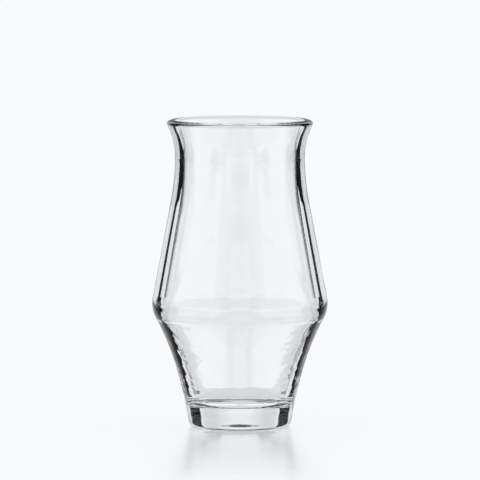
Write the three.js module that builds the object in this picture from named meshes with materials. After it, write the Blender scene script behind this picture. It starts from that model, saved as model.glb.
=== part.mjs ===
// A stemless cognac glass: a hollow clear bowl on a solid clear foot, both turned about the Z axis.
// Millimetres, +Z up, origin on the table under the middle of the glass.

import * as THREE from 'three';

// Foot: a solid disc that widens upwards, with a rounded bottom edge and a domed recess underneath
const FOOT_BASE_DIAMETER = 40.1;
const FOOT_THICKNESS = 6;
const FOOT_EDGE_ROUND = 2.5;
const RECESS_DIAMETER = 20;
const RECESS_DEPTH = 2.9;

// Outside of the bowl, from the weld upwards: each diameter is taken at the sharp corner before rounding
const BEND_DIAMETER = 44;
const BEND_ABOVE_WELD = 5.3;
const BEND_ROUND = 20;
const WAIST_DIAMETER = 54.5;
const WAIST_ABOVE_BEND = 20;
const WAIST_ROUND = 108;
const SHOULDER_LOW_DIAMETER = 68.6;
const SHOULDER_ABOVE_WAIST = 14;
const SHOULDER_LOW_ROUND = 5.7;
const SHOULDER_DIAMETER = 70.1;
const SHOULDER_BAND_HEIGHT = 4;
const SHOULDER_ROUND = 10.5;
const NECK_DIAMETER = 51.5;
const NECK_ABOVE_SHOULDER = 49.4;
const NECK_ROUND = 100;

// Lip: the wall flares outwards above the neck and both edges of its end are rounded
const FLARE_ABOVE_NECK = 13.9;
const FLARE_REACH = 3.15;
const FLARE_ANGLE = THREE.MathUtils.degToRad(22);
const FLARE_ROUND = 29;
const LIP_WALL = 3.3;
const RIM_ROUND = 1.2;

// Inside of the bowl: the glass thickness, measured level, and what differs from the outside. The inner shoulder
// lies higher than the outer one, up the line of the upper wall, and the inner neck lies lower.
const FLOOR_THICKNESS = 3;
const FLOOR_CORNER_ROUND = 6;
const BEND_WALL = 4;
const WAIST_WALL = 3.2;
const SHOULDER_LOW_WALL = 2.6;
const INNER_SHOULDER_LOW_ROUND = 7.5;
const SHOULDER_WALL = 4.4;
const INNER_SHOULDER_RISE = 2.6;
const INNER_SHOULDER_ROUND = 12;
const NECK_WALL = 3.45;
const INNER_NECK_DROP = 3.8;
const INNER_NECK_ROUND = 115;

// Fineness: facets round the axis, and the most that a facet may cut into an arc of the outline
const TURN_SEGMENTS = 64;
const FACET_DEPTH = 0.05;
const SAME_POINT = 0.001;

// A corner of an outline at radius r and height z, rounded to its own radius
const corner = (r, z, round = 0) => ({ r, z, round });

// Facets needed along an arc
function arcSteps(radius, turn) {
  const facetTurn = 2 * Math.acos(1 - FACET_DEPTH / Math.max(radius, FACET_DEPTH));
  return Math.ceil(Math.abs(turn) / facetTurn);
}

// Points along straight lines whose corners are rounded. Two roundings that meet on a short line share it, and
// the point where they touch is kept once.
function roundedOutline(corners) {
  const last = corners.length - 1;
  const points = corners.map(({ r, z }) => new THREE.Vector2(r, z));
  const edges = points.slice(1).map((point, i) => point.clone().sub(points[i]));

  const turns = corners.map((_, i) => {
    if (i === 0 || i === last) return 0;
    return Math.atan2(edges[i - 1].cross(edges[i]), edges[i - 1].dot(edges[i]));
  });
  const trims = corners.map(({ round }, i) => round * Math.tan(Math.abs(turns[i]) / 2));
  const shares = edges.map((edge, i) => Math.min(1, edge.length() / (trims[i] + trims[i + 1] || 1)));

  const outline = corners.flatMap((_, i) => {
    if (trims[i] === 0) return [points[i]];
    const trim = trims[i] * Math.min(shares[i - 1], shares[i]);
    const along = edges[i - 1].clone().normalize();
    const start = points[i].clone().addScaledVector(along, -trim);
    const reach = trim / Math.tan(turns[i] / 2);
    const centre = start.clone().add(new THREE.Vector2(-along.y, along.x).multiplyScalar(reach));
    const steps = arcSteps(Math.abs(reach), turns[i]);
    return Array.from({ length: steps + 1 }, (_, k) =>
      start.clone().rotateAround(centre, (turns[i] * k) / steps));
  });
  return outline.filter((point, i) => i === 0 || point.distanceTo(outline[i - 1]) > SAME_POINT);
}

// A closed solid of clear glass turned about Z from an outline that runs from the axis, out and back to it
function turned(name, outline, color) {
  const geometry = new THREE.LatheGeometry(outline, TURN_SEGMENTS).rotateX(Math.PI / 2);
  const material = new THREE.MeshStandardMaterial({
    color, roughness: 0.03, metalness: 0, transparent: true, opacity: 0.35,
  });
  const mesh = new THREE.Mesh(geometry, material);
  mesh.name = name;
  return mesh;
}

// Heights above the table
const weldZ = FOOT_THICKNESS;
const floorZ = weldZ + FLOOR_THICKNESS;
const bendZ = weldZ + BEND_ABOVE_WELD;
const waistZ = bendZ + WAIST_ABOVE_BEND;
const shoulderLowZ = waistZ + SHOULDER_ABOVE_WAIST;
const shoulderZ = shoulderLowZ + SHOULDER_BAND_HEIGHT;
const neckZ = shoulderZ + NECK_ABOVE_SHOULDER;
const flareZ = neckZ + FLARE_ABOVE_NECK;

// Where the side of the foot crosses the weld, on the straight line from the base to the bend
const weldRadius = THREE.MathUtils.mapLinear(weldZ, 0, bendZ, FOOT_BASE_DIAMETER / 2, BEND_DIAMETER / 2);

function foot() {
  const recessRadius = RECESS_DIAMETER / 2;
  const domeRadius = (recessRadius ** 2 + RECESS_DEPTH ** 2) / (2 * RECESS_DEPTH);
  const domeAngle = Math.asin(recessRadius / domeRadius);
  const domeSteps = arcSteps(domeRadius, domeAngle);
  const dome = Array.from({ length: domeSteps + 1 }, (_, k) => {
    const angle = (domeAngle * k) / domeSteps;
    return new THREE.Vector2(domeRadius * Math.sin(angle), RECESS_DEPTH - domeRadius * (1 - Math.cos(angle)));
  });
  dome[0].x = 0;
  dome[domeSteps].y = 0;

  const side = roundedOutline([
    corner(recessRadius, 0),
    corner(FOOT_BASE_DIAMETER / 2, 0, FOOT_EDGE_ROUND),
    corner(weldRadius, weldZ),
    corner(0, weldZ),
  ]);
  return turned('foot', [...dome, ...side.slice(1)], 0xeef1f2);
}

function bowl() {
  const bend = corner(BEND_DIAMETER / 2, bendZ, BEND_ROUND);
  const waist = corner(WAIST_DIAMETER / 2, waistZ, WAIST_ROUND);
  const shoulderLow = corner(SHOULDER_LOW_DIAMETER / 2, shoulderLowZ, SHOULDER_LOW_ROUND);
  const shoulder = corner(SHOULDER_DIAMETER / 2, shoulderZ, SHOULDER_ROUND);
  const neck = corner(NECK_DIAMETER / 2, neckZ, NECK_ROUND);
  const flare = corner(NECK_DIAMETER / 2, flareZ, FLARE_ROUND);

  // The lip's end is square to the flare before its two edges are rounded, and its outermost point is at the reach
  const lipAlong = new THREE.Vector2(Math.sin(FLARE_ANGLE), Math.cos(FLARE_ANGLE));
  const lipAcross = new THREE.Vector2(lipAlong.y, -lipAlong.x);
  const lipRise = (FLARE_REACH - RIM_ROUND * (1 - lipAcross.x)) / Math.tan(FLARE_ANGLE);
  const rimCentreRadius = NECK_DIAMETER / 2 + FLARE_REACH - RIM_ROUND;
  const rimCentre = new THREE.Vector2(rimCentreRadius, flareZ + lipRise - RIM_ROUND * lipAcross.y);
  const lipOuter = rimCentre.clone().addScaledVector(lipAcross, RIM_ROUND);
  const lipInner = lipOuter.clone().addScaledVector(lipAcross, -LIP_WALL);
  const rimEdge = (side) => {
    const point = side.clone().addScaledVector(lipAlong, RIM_ROUND);
    return corner(point.x, point.y, RIM_ROUND);
  };

  // The inner flare starts where the lip's inner line meets the inside of the neck
  const innerNeckRadius = NECK_DIAMETER / 2 - NECK_WALL;
  const innerFlareZ = lipInner.y - (lipInner.x - innerNeckRadius) / Math.tan(FLARE_ANGLE);
  const innerFlare = corner(innerNeckRadius, innerFlareZ, FLARE_ROUND + NECK_WALL);

  // The inner shoulder follows the slope of the outer wall above it
  const neckSlope = (shoulder.r - neck.r) / (neck.z - shoulder.z);
  const innerShoulderRadius = shoulder.r - SHOULDER_WALL - neckSlope * INNER_SHOULDER_RISE;

  // Inside of the bend, carried down its own wall line to the floor
  const innerWaist = corner(waist.r - WAIST_WALL, waistZ, WAIST_ROUND + WAIST_WALL);
  const innerSlope = (innerWaist.r - (bend.r - BEND_WALL)) / (waistZ - bendZ);
  const floorEdge = corner(innerWaist.r - innerSlope * (waistZ - floorZ), floorZ, FLOOR_CORNER_ROUND);

  return turned('bowl', roundedOutline([
    corner(0, weldZ),
    corner(weldRadius, weldZ),
    bend,
    waist,
    shoulderLow,
    shoulder,
    neck,
    flare,
    rimEdge(lipOuter),
    rimEdge(lipInner),
    innerFlare,
    corner(innerNeckRadius, neckZ - INNER_NECK_DROP, INNER_NECK_ROUND),
    corner(innerShoulderRadius, shoulderZ + INNER_SHOULDER_RISE, INNER_SHOULDER_ROUND),
    corner(shoulderLow.r - SHOULDER_LOW_WALL, shoulderLowZ, INNER_SHOULDER_LOW_ROUND),
    innerWaist,
    floorEdge,
    corner(0, floorZ),
  ]), 0xf4f6f7);
}

const glass = new THREE.Group();
glass.add(bowl(), foot());

export default glass;
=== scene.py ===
# %% [markdown]
# # A stemless cognac glass
# The real object is one piece of clear, thick-walled glass: a solid foot, a bowl that opens to a
# soft shoulder, a long drawn-in neck and a flared, rounded lip. Clear glass has hardly any colour
# of its own, so nearly everything that we see is its shape bending the light around it. Two things
# therefore matter in this lesson: an outline with true round arcs, inside and outside, and a studio
# that gives the glass something to bend.
#
# The frame holds the measured solids of the same glass. We load them, keep their box to aim the
# camera, and build one smooth skin that takes the place of both.

import math
from collections import namedtuple

import bpy
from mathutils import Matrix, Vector


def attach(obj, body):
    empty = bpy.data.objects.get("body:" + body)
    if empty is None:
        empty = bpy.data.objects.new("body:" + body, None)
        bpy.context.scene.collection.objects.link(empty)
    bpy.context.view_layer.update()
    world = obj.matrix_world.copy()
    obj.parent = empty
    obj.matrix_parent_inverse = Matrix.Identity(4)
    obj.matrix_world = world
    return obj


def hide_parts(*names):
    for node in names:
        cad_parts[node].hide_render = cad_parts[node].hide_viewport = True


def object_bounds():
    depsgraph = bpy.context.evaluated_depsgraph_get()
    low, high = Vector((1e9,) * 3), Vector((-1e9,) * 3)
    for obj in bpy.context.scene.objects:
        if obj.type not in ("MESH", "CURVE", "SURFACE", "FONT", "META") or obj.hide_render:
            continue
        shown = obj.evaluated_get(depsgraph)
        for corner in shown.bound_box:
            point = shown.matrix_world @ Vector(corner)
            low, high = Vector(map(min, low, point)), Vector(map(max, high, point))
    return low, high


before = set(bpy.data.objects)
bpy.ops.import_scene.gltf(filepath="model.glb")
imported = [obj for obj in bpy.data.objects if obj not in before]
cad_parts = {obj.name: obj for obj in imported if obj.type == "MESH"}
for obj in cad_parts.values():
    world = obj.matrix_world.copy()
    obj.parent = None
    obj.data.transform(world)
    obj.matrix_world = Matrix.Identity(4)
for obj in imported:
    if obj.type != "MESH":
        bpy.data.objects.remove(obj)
cad_low, cad_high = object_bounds()
print("frame from", tuple(cad_low), "to", tuple(cad_high))

# %% [markdown]
# ## The camera
# A glass is photographed from a few metres away through a long lens, a little above its middle, so
# its rim and its base show as very flat ellipses. The distance and the height set that flatness,
# and the lens is then worked out so that a millimetre at the glass covers the right number of
# pixels. The glass stands below the middle of the picture, so the camera aims at a point above it.
# A lens shift would do the same, but turning the camera keeps the shift at zero, which suits every
# other view.

# %% Camera
MM = 0.001
FRAME_PIXELS = 480
SENSOR_WIDTH = 36.0
CAMERA_DISTANCE = 2400 * MM
CAMERA_PITCH = math.radians(4.85)
CAMERA_REACH = 20.0
PIXEL_SIZE = 0.3974 * MM
GLASS_PIXEL_X = 239.9
GLASS_PIXEL_Y = 273.0

glass_middle = (cad_low + cad_high) / 2
toward_camera = Vector((0, -math.cos(CAMERA_PITCH), math.sin(CAMERA_PITCH)))
picture_up = Vector((0, math.sin(CAMERA_PITCH), math.cos(CAMERA_PITCH)))
aim = glass_middle.copy()
aim.x += (FRAME_PIXELS / 2 - GLASS_PIXEL_X) * PIXEL_SIZE
aim += picture_up * (GLASS_PIXEL_Y - FRAME_PIXELS / 2) * PIXEL_SIZE

bpy.ops.object.select_all(action="DESELECT")
bpy.ops.object.camera_add(location=glass_middle + toward_camera * CAMERA_DISTANCE)
camera = bpy.context.object
camera.rotation_mode = "QUATERNION"
camera.rotation_quaternion = (aim - camera.location).to_track_quat("-Z", "Y")
camera.data.sensor_width = SENSOR_WIDTH
camera.data.lens = CAMERA_DISTANCE * SENSOR_WIDTH / (FRAME_PIXELS * PIXEL_SIZE)
camera.data.clip_end = CAMERA_REACH
bpy.context.scene.camera = camera
bpy.context.scene.view_settings.view_transform = "Standard"
print("lens", round(camera.data.lens, 1), "mm from", tuple(round(v, 3) for v in camera.location))

# %% [markdown]
# ## The sizes of the glass
# A turned glass is fully described by its outline. Each corner of the outline is given as a radius,
# a height and a rounding, as a mould maker would mark it on a template. All of this is in
# millimetres and is turned into metres once, when the outline is drawn.
#
# From the table upwards the outside has a foot with a rounded edge and a shallow dome cut out of
# its underside, a bend where the foot ends, a slender waist, a shoulder made of two roundings close
# together, the long neck and the flare of the lip.

# %% Outside sizes
FOOT_BASE_RADIUS = 20.05
FOOT_EDGE_ROUND = 2.5
RECESS_RADIUS = 10.0
RECESS_DEPTH = 2.9
BEND_RADIUS, BEND_HEIGHT, BEND_ROUND = 22.0, 11.3, 20.0
WAIST_RADIUS, WAIST_HEIGHT, WAIST_ROUND = 27.25, 31.3, 108.0
SHOULDER_LOW_RADIUS, SHOULDER_LOW_HEIGHT, SHOULDER_LOW_ROUND = 34.3, 45.3, 5.7
SHOULDER_RADIUS, SHOULDER_HEIGHT, SHOULDER_ROUND = 35.05, 49.3, 10.5
NECK_RADIUS, NECK_HEIGHT, NECK_ROUND = 25.75, 98.7, 100.0
FLARE_HEIGHT, FLARE_REACH, FLARE_ROUND = 112.6, 3.15, 29.0
FLARE_ANGLE = math.radians(22)
RIM_ROUND = 1.2
print("foot", 2 * FOOT_BASE_RADIUS, "and shoulder", 2 * SHOULDER_RADIUS, "mm across")

# %% [markdown]
# ## How thick the glass is
# A wall of one thickness would be easy: Solidify makes it from the outside alone. In thick glass it
# would look wrong. Close to its edge a glass shows dark lines, and their distance from the edge
# tells how thick the wall is at that height. Here the inner shoulder sits a little higher than the
# outer one and is softer, the inner neck sits a little lower, and the wall is thinnest just under
# the shoulder. So every inner corner gets a wall of its own, and some are lifted or dropped.

# %% Thickness of the glass
FLOOR_HEIGHT = 9.0
FLOOR_CORNER_ROUND = 6.0
BEND_WALL = 4.0
WAIST_WALL = 3.2
SHOULDER_LOW_WALL = 2.6
INNER_LOW_ROUND = 7.5
SHOULDER_WALL = 4.4
SHOULDER_LIFT = 2.6
INNER_SHOULDER_ROUND = 12.0
NECK_WALL = 3.45
NECK_DROP = 3.8
INNER_NECK_ROUND = 115.0
LIP_WALL = 3.3
print("wall from", SHOULDER_LOW_WALL, "to", SHOULDER_WALL, "mm, solid foot of", FLOOR_HEIGHT, "mm")

# %% [markdown]
# ## The corners in order
# The lip leans outwards, so its corners are worked out along the lean and across it: the outer wall
# runs up at the flare's angle until its rounding stands over the neck by the reach of the flare,
# and the inner wall runs beside it. The rest is a list, read from the edge of the dome under the
# foot, up the outside, over the lip, and down the inside to the middle of the floor.

# %% Corners of the lip
Corner = namedtuple("Corner", "r z round")


def lip_corners():
    """The two corners of the lip's end and the inner corner where its flare begins."""
    along = Vector((math.sin(FLARE_ANGLE), math.cos(FLARE_ANGLE)))
    across = Vector((along.y, -along.x))
    reach = FLARE_REACH - RIM_ROUND
    climb = (reach + RIM_ROUND * across.x) / math.tan(FLARE_ANGLE)
    middle = Vector((NECK_RADIUS + reach, FLARE_HEIGHT + climb - RIM_ROUND * across.y))
    outer = middle + across * RIM_ROUND
    inner = outer - across * LIP_WALL
    ends = [Corner(*(side + along * RIM_ROUND), RIM_ROUND) for side in (outer, inner)]
    inner_radius = NECK_RADIUS - NECK_WALL
    inner_height = inner.y - (inner.x - inner_radius) / math.tan(FLARE_ANGLE)
    return ends + [Corner(inner_radius, inner_height, FLARE_ROUND + NECK_WALL)]


print("lip ends at", tuple(round(v, 2) for v in lip_corners()[0]))

# %% Corners of the outline
neck_slope = (SHOULDER_RADIUS - NECK_RADIUS) / (NECK_HEIGHT - SHOULDER_HEIGHT)
shoulder_inside = SHOULDER_RADIUS - neck_slope * SHOULDER_LIFT - SHOULDER_WALL
inner_waist = Corner(WAIST_RADIUS - WAIST_WALL, WAIST_HEIGHT, WAIST_ROUND + WAIST_WALL)
inner_slope = (inner_waist.r - (BEND_RADIUS - BEND_WALL)) / (WAIST_HEIGHT - BEND_HEIGHT)
floor_edge_radius = inner_waist.r - inner_slope * (WAIST_HEIGHT - FLOOR_HEIGHT)
outline = [
    Corner(RECESS_RADIUS, 0, 0),
    Corner(FOOT_BASE_RADIUS, 0, FOOT_EDGE_ROUND),
    Corner(BEND_RADIUS, BEND_HEIGHT, BEND_ROUND),
    Corner(WAIST_RADIUS, WAIST_HEIGHT, WAIST_ROUND),
    Corner(SHOULDER_LOW_RADIUS, SHOULDER_LOW_HEIGHT, SHOULDER_LOW_ROUND),
    Corner(SHOULDER_RADIUS, SHOULDER_HEIGHT, SHOULDER_ROUND),
    Corner(NECK_RADIUS, NECK_HEIGHT, NECK_ROUND),
    Corner(NECK_RADIUS, FLARE_HEIGHT, FLARE_ROUND),
    *lip_corners(),
    Corner(NECK_RADIUS - NECK_WALL, NECK_HEIGHT - NECK_DROP, INNER_NECK_ROUND),
    Corner(shoulder_inside, SHOULDER_HEIGHT + SHOULDER_LIFT, INNER_SHOULDER_ROUND),
    Corner(SHOULDER_LOW_RADIUS - SHOULDER_LOW_WALL, SHOULDER_LOW_HEIGHT, INNER_LOW_ROUND),
    inner_waist,
    Corner(floor_edge_radius, FLOOR_HEIGHT, FLOOR_CORNER_ROUND),
    Corner(0, FLOOR_HEIGHT, 0),
]
print(len(outline), "corners, top at", round(max(c.z for c in outline), 2), "mm")

# %% [markdown]
# ## Drawing the outline
# By hand, one vertex is enough to start: a plane is added and merged to its centre. The vertex is
# then extruded along each straight line and spun about the centre of each arc, which leaves a chain
# of edges whose arcs are true circles. A vertex bevel would be quicker, but it draws squashed arcs
# at shallow corners, and glass shows every uneven curve as a streak.
#
# A long flat arc needs few steps and a tight one needs many, so the number of steps comes from how
# far a step may cut into the arc.

# %% Lines and arcs
ARC_DEPTH = 0.0006
SHORTEST_LINE = 0.001 * MM


def arc_steps(radius, turn):
    """Steps along an arc, so that no step cuts deeper into it than ARC_DEPTH."""
    widest = 2 * math.acos(1 - ARC_DEPTH / max(radius, ARC_DEPTH))
    return max(2, math.ceil(abs(turn) / widest))


def draw_line(end):
    """Extrudes the outline's last vertex to a point."""
    mesh = bpy.context.edit_object
    mesh.update_from_editmode()
    last = next(v.co for v in mesh.data.vertices if v.select)
    step = Vector((end.x * MM - last.x, 0, end.y * MM - last.z))
    if step.length > SHORTEST_LINE:
        bpy.ops.mesh.extrude_vertices_move(TRANSFORM_OT_translate={"value": step})


def draw_arc(centre, turn, radius):
    """Spins the outline's last vertex about a centre; a positive turn goes from outwards to upwards."""
    middle = (centre.x * MM, 0, centre.y * MM)
    bpy.ops.mesh.spin(steps=arc_steps(radius, turn), angle=turn, center=middle, axis=(0, 1, 0))


print("a quarter turn of the foot's edge takes", arc_steps(FOOT_EDGE_ROUND, math.pi / 2), "steps")


# %% Rounded corners
def draw_outline(corners):
    """Draws lines between the corners and rounds them; roundings that meet share a short line."""
    points = [Vector((c.r, c.z)) for c in corners]
    edges = [b - a for a, b in zip(points, points[1:])]
    bends = [math.atan2(a.x * b.y - a.y * b.x, a.dot(b)) for a, b in zip(edges, edges[1:])]
    turns = [0.0] + bends + [0.0]
    trims = [c.round * math.tan(abs(turn) / 2) for c, turn in zip(corners, turns)]
    shares = [min(1, e.length / ((a + b) or 1)) for e, a, b in zip(edges, trims, trims[1:])]
    for i, point in enumerate(points):
        if trims[i] == 0:
            draw_line(point)
            continue
        trim = trims[i] * min(shares[i - 1], shares[i])
        along = edges[i - 1].normalized()
        start = point - along * trim
        reach = trim / math.tan(turns[i] / 2)
        draw_line(start)
        draw_arc(start + Vector((-along.y, along.x)) * reach, turns[i], abs(reach))


bpy.ops.object.select_all(action="DESELECT")
bpy.ops.mesh.primitive_plane_add(size=MM)
glass = bpy.context.object
glass.name = "cognac_glass"
bpy.ops.object.mode_set(mode="EDIT")
bpy.ops.mesh.merge(type="CENTER")
bpy.ops.transform.translate(value=(0, 0, RECESS_DEPTH * MM))
dome_radius = (RECESS_RADIUS**2 + RECESS_DEPTH**2) / (2 * RECESS_DEPTH)
dome_centre = Vector((0, RECESS_DEPTH - dome_radius))
draw_arc(dome_centre, -math.asin(RECESS_RADIUS / dome_radius), dome_radius)
draw_outline(outline)
glass.update_from_editmode()
print("outline of", len(glass.data.vertices), "points")

# %% [markdown]
# ## Turning the glass
# A full spin about the upright axis makes the skin, as blowing into a turning mould does. The Screw
# modifier would do it too, and is handy while the outline still changes. Spin leaves a seam where
# it closes and a heap of vertices where the outline starts and ends on the axis, so doubles are
# merged first. Only then are the normals made to point out of the glass: refraction depends on
# which side of a face is glass.

# %% Spin
TURN_STEPS = 224
MERGE_DISTANCE = 0.002 * MM

bpy.ops.mesh.select_all(action="SELECT")
bpy.ops.mesh.spin(steps=TURN_STEPS, angle=math.tau, center=(0, 0, 0), axis=(0, 0, 1))
bpy.ops.mesh.select_all(action="SELECT")
bpy.ops.mesh.remove_doubles(threshold=MERGE_DISTANCE)
bpy.ops.mesh.normals_make_consistent(inside=False)
bpy.ops.object.mode_set(mode="OBJECT")
bpy.ops.object.shade_smooth()
glass_size = tuple(round(v / MM, 2) for v in glass.dimensions)
print("glass of", len(glass.data.polygons), "faces,", glass_size, "mm")

# %% [markdown]
# ## Joining the frame
# The measured model has two solids, a foot and a bowl, as if they had been welded while hot. In the
# real glass nothing shows between them, and two shells that touch would show a false mirror at the
# joint. So one skin replaces both. Nothing moves, so it rides on the only body.

# %% Replace both solids
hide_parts("bowl", "foot")
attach(glass, "root")
print(glass.name, "stands for the bowl and the foot")

# %% [markdown]
# ## Clear glass
# The surface is polished by fire, so it is perfectly smooth to the light: roughness 0. Ordinary
# clear glass bends light by an index of about 1.52 and keeps back a little more red than blue,
# which gives its faint cool tint. The lower bowl touched the mould and is gently wavy, and that is
# what makes the dark lines near its edge look mottled. Above the shoulder the glass was drawn out
# freely and is nearly even.
#
# A Glass shader would do, but the Principled shader with full transmission is the one that other
# programs read. The waves are a noise on Object coordinates, turned into a Bump that fades out
# upwards. They are far too shallow to be worth moving the mesh. What is the same all over is set on
# the shader's own sockets.

# %% Glass material
GLASS_TINT = (0.99, 0.995, 0.997, 1)
GLASS_INDEX = 1.52
RIPPLE_SCALE = 220
RIPPLE_DETAIL = 1.5
RIPPLE_HEIGHT = 0.08
RIPPLE_FULL, RIPPLE_TOP = 40, 47
UPPER_RIPPLE = 0.06


def clear_glass():
    """Fire-polished clear glass, gently wavy low down."""
    material = bpy.data.materials.new("clear_glass")
    material.use_nodes = True
    nodes = material.node_tree.nodes
    link = material.node_tree.links.new
    shader = nodes["Principled BSDF"]
    shader.inputs["Base Color"].default_value = GLASS_TINT
    shader.inputs["Roughness"].default_value = 0.0
    shader.inputs["IOR"].default_value = GLASS_INDEX
    shader.inputs["Transmission Weight"].default_value = 1.0
    place = nodes.new("ShaderNodeTexCoord")
    ripple = nodes.new("ShaderNodeTexNoise")
    ripple.inputs["Scale"].default_value = RIPPLE_SCALE
    ripple.inputs["Detail"].default_value = RIPPLE_DETAIL
    link(place.outputs["Object"], ripple.inputs["Vector"])
    parts = nodes.new("ShaderNodeSeparateXYZ")
    link(place.outputs["Object"], parts.inputs[0])
    low_down = nodes.new("ShaderNodeMapRange")
    low_down.inputs["From Min"].default_value = RIPPLE_TOP * MM
    low_down.inputs["From Max"].default_value = RIPPLE_FULL * MM
    low_down.inputs["To Min"].default_value = UPPER_RIPPLE
    low_down.inputs["To Max"].default_value = 1.0
    link(parts.outputs["Z"], low_down.inputs["Value"])
    waves = nodes.new("ShaderNodeBump")
    waves.inputs["Distance"].default_value = RIPPLE_HEIGHT * MM
    link(ripple.outputs["Fac"], waves.inputs["Height"])
    link(low_down.outputs["Result"], waves.inputs["Strength"])
    link(waves.outputs["Normal"], shader.inputs["Normal"])
    return material


glass.data.materials.clear()
glass.data.materials.append(clear_glass())
print("glass with an index of", GLASS_INDEX, "and waves up to", RIPPLE_TOP, "mm")

# %% [markdown]
# ## The table
# The glass stands on a pale, glossy table top that carries a soft mirror image of it and a faint
# shadow. A white plane under lamps would do, but its far edge would draw a line behind the glass.
# So most of this table glows in the colour of the background, a share of it is matt and takes the
# shadow, and a share is a blurred mirror, which fades out away from the glass as the image in a
# softly polished top does. All three have the same colour and the surroundings look white to them,
# so the table runs into the background without a line.
#
# Rays inside the glass don't see the table. They see the surroundings instead, which hold what a
# bright table would show, so the light in the glass can be set in one place.

# %% Table top
PALE = (0.947, 0.956, 0.974, 1)
TABLE_RADIUS = 450 * MM
TABLE_CORNERS = 96

bpy.ops.object.select_all(action="DESELECT")
bpy.ops.mesh.primitive_circle_add(vertices=TABLE_CORNERS, radius=TABLE_RADIUS, fill_type="NGON")
table = bpy.context.object
table.name = "table_top"
table.visible_transmission = False
table.visible_glossy = False
print("table", round(table.dimensions.x, 2), "m across")

# %% Table material
MIRROR_SHARE = 0.47
MIRROR_FULL, MIRROR_END = 80, 250
MATT_SHARE = 0.14
MIRROR_BLUR = 0.2


def pale_table():
    """A table top that is pale to the eye, takes a soft shadow and mirrors the glass."""
    material = bpy.data.materials.new("pale_table")
    material.use_nodes = True
    nodes = material.node_tree.nodes
    link = material.node_tree.links.new
    nodes.clear()
    glow = nodes.new("ShaderNodeEmission")
    glow.inputs["Color"].default_value = PALE
    matt = nodes.new("ShaderNodeBsdfDiffuse")
    matt.inputs["Color"].default_value = PALE
    mirror = nodes.new("ShaderNodeBsdfGlossy")
    mirror.inputs["Color"].default_value = PALE
    mirror.inputs["Roughness"].default_value = MIRROR_BLUR
    body = nodes.new("ShaderNodeMixShader")
    body.inputs[0].default_value = MATT_SHARE
    link(glow.outputs[0], body.inputs[1])
    link(matt.outputs[0], body.inputs[2])
    place = nodes.new("ShaderNodeTexCoord")
    distance = nodes.new("ShaderNodeVectorMath")
    distance.operation = "LENGTH"
    link(place.outputs["Object"], distance.inputs[0])
    fade = nodes.new("ShaderNodeMapRange")
    fade.interpolation_type = "SMOOTHSTEP"
    fade.inputs["From Min"].default_value = MIRROR_FULL * MM
    fade.inputs["From Max"].default_value = MIRROR_END * MM
    fade.inputs["To Min"].default_value = MIRROR_SHARE
    fade.inputs["To Max"].default_value = 0.0
    link(distance.outputs["Value"], fade.inputs["Value"])
    gloss = nodes.new("ShaderNodeMixShader")
    link(fade.outputs["Result"], gloss.inputs[0])
    link(body.outputs[0], gloss.inputs[1])
    link(mirror.outputs[0], gloss.inputs[2])
    out = nodes.new("ShaderNodeOutputMaterial")
    link(gloss.outputs[0], out.inputs["Surface"])
    return material


table.data.materials.append(pale_table())
print("table with a mirror share of", MIRROR_SHARE)

# %% [markdown]
# ## A bright-field studio
# Glass is photographed against a bright sheet, with dark cards out of the picture on both sides.
# Near its edges the glass bends the sight line sideways until it meets a card, and that draws the
# dark lines that give the glass its form. Lamps and black planes could be set up for this, but they
# would stand in the way of the other views. Here the whole studio is painted into the World by
# direction: `turn` is the angle to the side and `height` the angle above the horizon, both in
# degrees. Left and right are alike, and front and back nearly so, so the glass has its dark lines
# from every side. Nothing is brighter than white.
#
# The next cells are small helpers, each of which adds one node or a few to the World: sums, soft
# steps, ramps and blends.

# %% World and sums
world = bpy.context.scene.world or bpy.data.worlds.new("studio")
bpy.context.scene.world = world
world.use_nodes = True
tree = world.node_tree
tree.nodes.clear()


def calculate(operation, *values):
    """A Math node on numbers and sockets."""
    node = tree.nodes.new("ShaderNodeMath")
    node.operation = operation
    for socket, value in zip(node.inputs, values):
        if isinstance(value, (int, float)):
            socket.default_value = value
        else:
            tree.links.new(value, socket)
    return node.outputs[0]


def opposite(mask):
    """1 where a mask is 0."""
    return calculate("SUBTRACT", 1, mask)


def all_of(first, *others):
    """Where all masks meet."""
    for other in others:
        first = calculate("MULTIPLY", first, other)
    return first


def any_of(first, *others):
    """Where at least one mask is."""
    for other in others:
        first = calculate("MAXIMUM", first, other)
    return first


print("empty world", world.name)


# %% Soft steps, ramps and blends
# A Mix node has sockets for each kind of value, and these are the places of its colour ones.
COLOUR_LOW, COLOUR_HIGH, COLOUR_RESULT = 6, 7, 2
# A new stop of a ramp starts in its middle and is moved at once.
NEW_STOP = 0.5


def rise(value, start, end):
    """0 before start and 1 after end, softly."""
    node = tree.nodes.new("ShaderNodeMapRange")
    node.interpolation_type = "SMOOTHSTEP"
    tree.links.new(value, node.inputs["Value"])
    node.inputs["From Min"].default_value = start
    node.inputs["From Max"].default_value = end
    return node.outputs["Result"]


def between(value, start, full, fade, end):
    """A soft band that is whole from full to fade."""
    return calculate("SUBTRACT", rise(value, start, full), rise(value, fade, end))


def ramp(value, first, last, *stops):
    """A level that changes along an angle, given as stops of angle and level up to 1."""
    node = tree.nodes.new("ShaderNodeValToRGB")
    share = calculate("DIVIDE", calculate("SUBTRACT", value, first), last - first)
    tree.links.new(share, node.inputs[0])
    elements = node.color_ramp.elements
    while len(elements) < len(stops):
        elements.new(NEW_STOP)
    for element, (angle, level) in zip(elements, stops):
        element.position = (angle - first) / (last - first)
        element.color = (level, level, level, 1)
    return node.outputs["Color"]


def blend(factor, low, high, kind="MIX"):
    """Goes from one light to another."""
    node = tree.nodes.new("ShaderNodeMix")
    node.data_type = "RGBA"
    node.blend_type = kind
    ends = ((0, factor), (COLOUR_LOW, low), (COLOUR_HIGH, high))
    for place, value in ends:
        socket = node.inputs[place]
        if isinstance(value, (int, float, tuple)):
            socket.default_value = value
        else:
            tree.links.new(value, socket)
    return node.outputs[COLOUR_RESULT]


def grey(level):
    """A plain grey."""
    return (level, level, level, 1)


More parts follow.
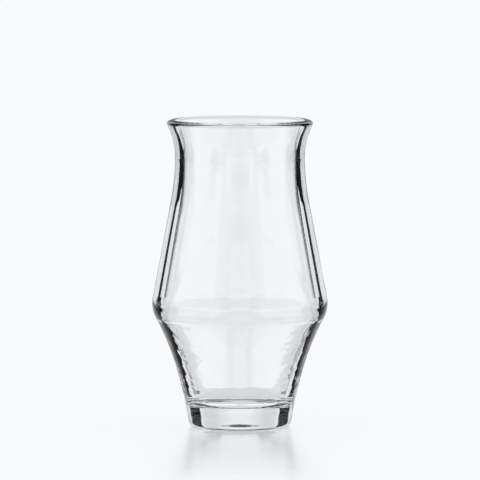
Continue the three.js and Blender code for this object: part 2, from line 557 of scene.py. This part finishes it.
print("helpers ready, white is", grey(1.0))

# %% Directions
BEHIND_SOFT = 0.05

split = tree.nodes.new("ShaderNodeSeparateXYZ")
tree.links.new(tree.nodes.new("ShaderNodeTexCoord").outputs["Generated"], split.inputs[0])
aside = calculate("ABSOLUTE", split.outputs["X"])
ahead = calculate("ABSOLUTE", split.outputs["Y"])
turn = calculate("DEGREES", calculate("ARCTAN2", aside, ahead))
height = calculate("DEGREES", calculate("ARCSINE", split.outputs["Z"]))
behind = rise(calculate("MULTIPLY", split.outputs["Y"], -1), -BEHIND_SOFT, BEHIND_SOFT)
print("directions from", len(tree.nodes), "nodes")

# %% [markdown]
# ## Paths of light in thick glass
# Light that enters a thick wall at a slant is often mirrored inside it, sometimes many times,
# before it comes out. Blender stops after a few such bounces and then shows black, so the limits
# are raised: the corner of the foot needs more than ten.
#
# The Light Path node counts these mirrorings as Glossy Depth. It lets us tell light that came
# straight through from light that was mirrored inside the wall, as a photographer does by moving a
# card until only one of two lines answers to it.

# %% Bounces
MOST_BOUNCES, MOST_MIRRORINGS, MOST_PASSAGES = 32, 16, 32

light_paths = bpy.context.scene.cycles
light_paths.max_bounces = MOST_BOUNCES
light_paths.glossy_bounces = MOST_MIRRORINGS
light_paths.transmission_bounces = MOST_PASSAGES
path = tree.nodes.new("ShaderNodeLightPath")


def mirrored(count):
    """1 for light that was mirrored at least so many times."""
    return calculate("GREATER_THAN", path.outputs["Glossy Depth"], count - 1)


mirrored_inside = mirrored(1)
straight_through = opposite(mirrored_inside)
mirrored_twice = calculate("SUBTRACT", mirrored(2), mirrored(3))
mirrored_often = calculate("SUBTRACT", mirrored(3), mirrored(5))
print("up to", MOST_BOUNCES, "bounces")

# %% [markdown]
# ## The dark cards
# The side cards make the two long black lines beside the edge. Their near and far edges aren't
# straight: they are given as stops of height and turn, because the neck, the long cone, the
# shoulder and the lower bowl each look past the card at another height. Above the horizon the card
# serves only light mirrored in the wall, and a flag further out takes its place for light that
# comes straight through.

# %% Side cards
CARD_SOFT = 0.6
EDGE_LOW, EDGE_HIGH, WIDEST_TURN = -45, 45, 90
CARD_IN_FRONT = (-29, -27, 38, 46)
CARD_BEHIND = (-10, -8, 38, 46)
ABOVE_HORIZON = (3.5, 5)
NEAR_EDGE = (
    (-27, 12), (-22, 13), (-18, 14.5), (-16.8, 18), (-15.5, 24), (-13, 29), (-6, 29.5), (-5, 26),
    (4, 25.3), (5, 19), (28, 14), (45, 14),
)
FAR_EDGE = (
    (-27, 33), (-18, 34), (-16.5, 39.5), (-14, 42.5), (-11, 47), (-3.9, 48), (-3.1, 37.5), (-1.5, 34.8),
    (4, 34.6), (5, 38), (16, 38), (22, 28), (45, 28),
)


def past_edge(stops):
    """1 to the outside of a card's edge, whose turn is given at each height."""
    shares = ((angle, turn_there / WIDEST_TURN) for angle, turn_there in stops)
    edge = calculate("MULTIPLY", ramp(height, EDGE_LOW, EDGE_HIGH, *shares), WIDEST_TURN)
    return rise(calculate("SUBTRACT", turn, edge), -CARD_SOFT, CARD_SOFT)


card = calculate("SUBTRACT", past_edge(NEAR_EDGE), past_edge(FAR_EDGE))
card_height = blend(behind, between(height, *CARD_IN_FRONT), between(height, *CARD_BEHIND))
above = rise(height, *ABOVE_HORIZON)
card = all_of(card, card_height, any_of(mirrored_inside, opposite(above)))
print("card edges with", len(NEAR_EDGE), "and", len(FAR_EDGE), "stops")

# %% [markdown]
# ## Smaller dark things
# The flag makes the dark blocks at the sides of the foot and its dark lower corners. A strip
# further to the side gives the neck its broad dark band. A painted shadow low in front stands for
# the table top lying in the glass's own shade under the foot, and shows in the dome under the foot
# as the small dark ellipse. A small card draws the thin line beside the dark band under the lip. A
# dark ceiling shows only in light that was mirrored inside, and draws the fine lines around the
# inner floor.
#
# Each is a soft band of turn crossed with a soft band of height, because a card with a sharp edge
# would draw a hard line. A band is four angles: where it starts, is whole, begins to fade and ends.
# A soft step is two.

# %% Small cards
FLAG_TURN, FLAG_HEIGHT = (36, 38, 60, 63), (4, 6, 32, 36)
STRIP_TURN, STRIP_HEIGHT = (45.5, 47.5, 60, 64), (-14, -11, 4, 6)
# The painted shadow of the table top under the foot lies at this turn and height.
TABLE_SHADE_TURN, TABLE_SHADE_HEIGHT = (4, 6.5), (-40, -36, -24, -20)
LIP_TURN, LIP_HEIGHT = (19, 20, 31, 32), (-12.6, -12, -7.9, -7.2)
CEILING_HEIGHT = (32, 40)

flag = all_of(between(turn, *FLAG_TURN), between(height, *FLAG_HEIGHT), straight_through)
strip = all_of(between(turn, *STRIP_TURN), between(height, *STRIP_HEIGHT))
# Painted shadow: a dark patch low in front for the table top shaded under the foot, seen only by light
# mirrored twice.
painted_table_shade = all_of(opposite(rise(turn, *TABLE_SHADE_TURN)), between(height, *TABLE_SHADE_HEIGHT))
painted_table_shade = all_of(painted_table_shade, opposite(behind), mirrored_twice)
lip_card = all_of(between(turn, *LIP_TURN), between(height, *LIP_HEIGHT), straight_through)
ceiling = all_of(rise(height, *CEILING_HEIGHT), mirrored_inside)
dark_things = any_of(card, flag, strip, painted_table_shade, lip_card, ceiling)
print("cards from", len(tree.nodes), "nodes")

# %% [markdown]
# ## The bright sheet
# Straight ahead the sheet is a trifle darker than further out, which gives the middle of the bowl
# its soft grey. Above the horizon it falls off sooner, and that shades the ring of the shoulder.
# Low down it is dimmer too, which shades the bottom of the bowl and the wavy edge of the lower
# wall. A gradient texture on a plane would do for one view, and ramps on the direction do for all.
# Each level is a share of white.
#
# Light that was mirrored three or four times in the wall finds only a dark corner of the studio,
# which keeps the dark band of the neck black.

# %% Bright sheet
SHEET = (
    (0, 0.91), (0.5, 0.93), (1.2, 0.965), (3, 0.97), (6, 0.99), (9, 0.985), (11, 0.9), (14, 0.84),
    (24, 0.88), (36, 0.97), (90, 1),
)
UPPER_SHEET = ((0, 0.9), (6, 0.9), (14, 0.8), (21, 0.7), (31, 0.72), (36, 0.9), (90, 1))
LOW_SHEET, LOW_SHEET_TURN, LOW_SHEET_HEIGHT = 0.77, (26, 34), (-11.8, -10.2)
LOW_EDGE, LOW_EDGE_TURN, LOW_EDGE_HEIGHT = 0.18, (17, 20), (-27, -24, -13, -11.5)
CORNER, CORNER_TURN, CORNER_HEIGHT = 0.008, (32, 36), (-44, -38, 10, 14)
DARK = 0.006

upper_sheet = ramp(turn, 0, WIDEST_TURN, *UPPER_SHEET)
sheet = blend(above, ramp(turn, 0, WIDEST_TURN, *SHEET), upper_sheet)
low_down = all_of(opposite(rise(turn, *LOW_SHEET_TURN)), opposite(rise(height, *LOW_SHEET_HEIGHT)))
sheet = blend(low_down, sheet, grey(LOW_SHEET))
low_edge = all_of(opposite(rise(turn, *LOW_EDGE_TURN)), between(height, *LOW_EDGE_HEIGHT))
sheet = blend(all_of(low_edge, mirrored_inside), sheet, grey(LOW_EDGE))
through = blend(dark_things, sheet, grey(DARK))
corner = all_of(opposite(rise(turn, *CORNER_TURN)), between(height, *CORNER_HEIGHT))
through = blend(all_of(corner, mirrored_often), through, grey(CORNER))
print("sheet from", min(level for angle, level in SHEET), "to 1")

# %% [markdown]
# ## What the surface mirrors
# Besides letting light through, the skin mirrors the room, strongly at its edges and weakly in its
# middle. The room behind the camera is dim, so the middle stays clear. The sides are bright where
# the edge shall be pale, and dark where a mirror image would wash out the black lines. Below the
# horizon the room falls off sooner, and that gives the lower wall its dark border.

# %% Mirrored room
ROOM = ((0, 0.3), (10, 0.3), (18, 0.97), (36, 0.97), (39, 0.04), (62, 0.04), (72, 0.9), (90, 1))
LOW_ROOM = ((0, 0.45), (10, 0.45), (16, 0.7), (24, 0.6), (32, 0.3), (40, 0.15), (48, 0.05), (90, 0.05))
LOW_ROOM_HEIGHT = (-4, -1)
ROOM_BEHIND = 0.3

low_room = ramp(turn, 0, WIDEST_TURN, *LOW_ROOM)
room = blend(rise(height, *LOW_ROOM_HEIGHT), low_room, ramp(turn, 0, WIDEST_TURN, *ROOM))
room = blend(behind, room, grey(ROOM_BEHIND))
print("room behind the camera at", ROOM_BEHIND)

# %% [markdown]
# ## One world for all rays
# Light Path now hands each ray its own share. Rays that leave the glass get the sheet and the
# cards, sharp mirror rays get the room, and both get the faint blue of daylight on the sheet. The
# table's blurred mirror and its matt share get white. What the camera sees directly is the pale
# background itself.

# %% All together
COOL = (0.968, 0.977, 1.0, 1)

leaves_glass = path.outputs["Is Transmission Ray"]
light = blend(leaves_glass, room, through)
light = blend(1.0, light, COOL, "MULTIPLY")
by_glass = any_of(path.outputs["Is Singular Ray"], leaves_glass)
light = blend(by_glass, grey(1.0), light)
light = blend(path.outputs["Is Camera Ray"], light, PALE)
background = tree.nodes.new("ShaderNodeBackground")
tree.links.new(light, background.inputs["Color"])
world_out = tree.nodes.new("ShaderNodeOutputWorld")
tree.links.new(background.outputs[0], world_out.inputs["Surface"])
print("world of", len(tree.nodes), "nodes")
